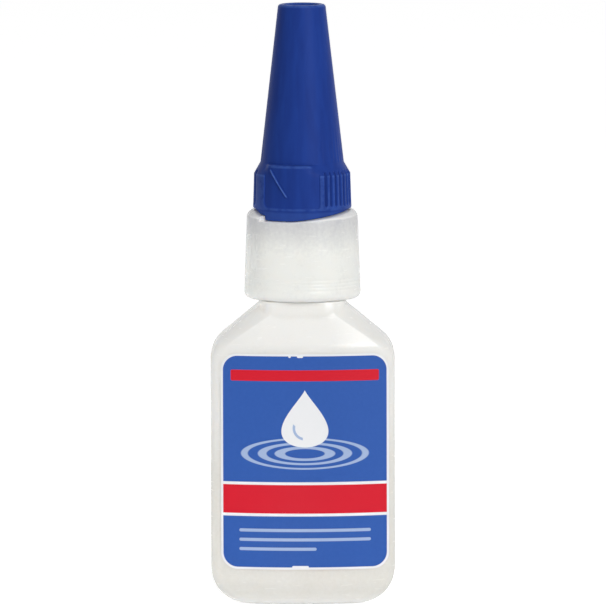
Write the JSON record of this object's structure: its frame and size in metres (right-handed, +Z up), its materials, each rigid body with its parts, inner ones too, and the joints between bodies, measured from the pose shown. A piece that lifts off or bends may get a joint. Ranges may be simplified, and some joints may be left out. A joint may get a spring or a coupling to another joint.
{
  "type": "instant adhesive bottle",
  "caption": "Small flat squeeze bottle of instant adhesive with a labelled bowed front, a threaded neck, a tapered spout under a screw collar, and a conical cap released by a cam.",
  "frame": {"origin": "centre of the flat base that the bottle stands on, under the neck axis", "axes": "+Z up along the neck axis, -Y towards the front label, +X to the right of someone who faces that label"},
  "size_m": [0.0354, 0.0234, 0.115],
  "materials": {
    "bottle": "satin",
    "adhesive": "gloss",
    "front_label": "gloss",
    "back_label": "satin",
    "spout": "satin",
    "screw_collar": "satin",
    "cap": "satin",
    "pin_holder": "satin",
    "cap_pin": "satin"
  },
  "bodies": {
    "bottle": {"bottle": "bottle", "bottle_neck": "bottle", "adhesive": "adhesive", "front_label": "front_label", "back_label": "back_label"},
    "spout": {"spout": "spout"},
    "collar": {"screw_collar": "screw_collar"},
    "pin": {"cap_pin": "cap_pin"},
    "holder": {"pin_holder": "pin_holder"},
    "cap": {"cap": "cap"}
  },
  "joints": [
    {"name": "nozzle_rise", "type": "slide", "parent": "bottle", "child": "spout", "axis": [0, 0, 1], "range_m": [0, 0.0046]},
    {"name": "nozzle_turn", "type": "hinge", "parent": "spout", "child": "collar", "pos_m": [0, 0, 0.067], "axis": [0, 0, 1], "range_deg": [0, 540]},
    {"name": "cap_pull", "type": "slide", "parent": "collar", "child": "pin", "axis": [0, 0, 1], "range_m": [0, 0.036]},
    {"name": "cap_rise", "type": "slide", "parent": "pin", "child": "holder", "axis": [0, 0, 1], "range_m": [0, 0.0019]},
    {"name": "cap_turn", "type": "hinge", "parent": "holder", "child": "cap", "pos_m": [0, 0, 0.078], "axis": [0, 0, 1], "range_deg": [0, 90]}
  ],
  "couplings": [
    {"joint": "nozzle_rise", "follows": "nozzle_turn", "m_per_rad": 0.00047746},
    {"joint": "cap_rise", "follows": "cap_turn", "m_per_rad": 0.001121}
  ]
}
